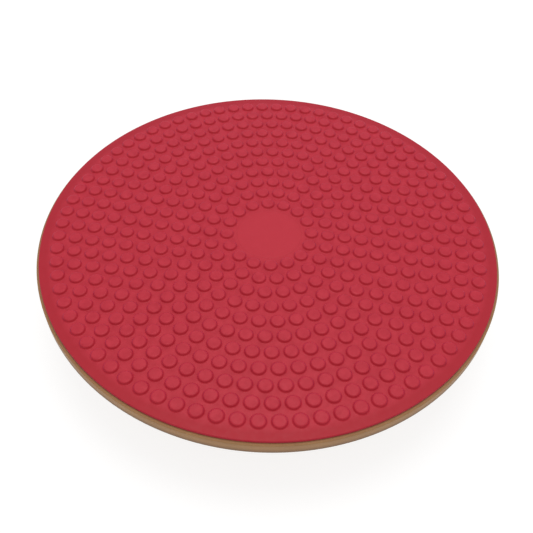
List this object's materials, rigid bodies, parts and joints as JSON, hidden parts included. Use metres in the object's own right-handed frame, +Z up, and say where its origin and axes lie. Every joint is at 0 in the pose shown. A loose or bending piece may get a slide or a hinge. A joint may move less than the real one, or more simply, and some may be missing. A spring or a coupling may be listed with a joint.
{
  "type": "balance board",
  "caption": "Round wobble board: a rigid wooden disc with a nubbed rubber standing mat on top and a fixed, rubber-soled rocker dome screwed underneath.",
  "frame": {"origin": "middle of the small flat at the tip of the rocker sole, on the surface that the board stands on", "axes": "+Z up through the middle of the board; +X along the line that passes between two nubs in every ring of the mat"},
  "size_m": [0.3999, 0.4, 0.0765],
  "materials": {
    "mat_rubber": "semi-matte red moulded rubber",
    "adhesive": "matte translucent film",
    "fibreboard": "brown medium-density fibreboard, sealed",
    "zinc_steel": "bright zinc plate",
    "dome_plastic": "black, fine moulded texture",
    "sole_rubber": "matte dark grey rubber"
  },
  "bodies": {
    "root": {"standing_mat": "mat_rubber", "mat_adhesive_film": "adhesive", "board_disc": "fibreboard", "tee_nuts": "zinc_steel", "rocker_dome": "dome_plastic", "rocker_sole": "sole_rubber", "dome_washers": "zinc_steel", "dome_screws": "zinc_steel"}
  },
  "joints": []
}
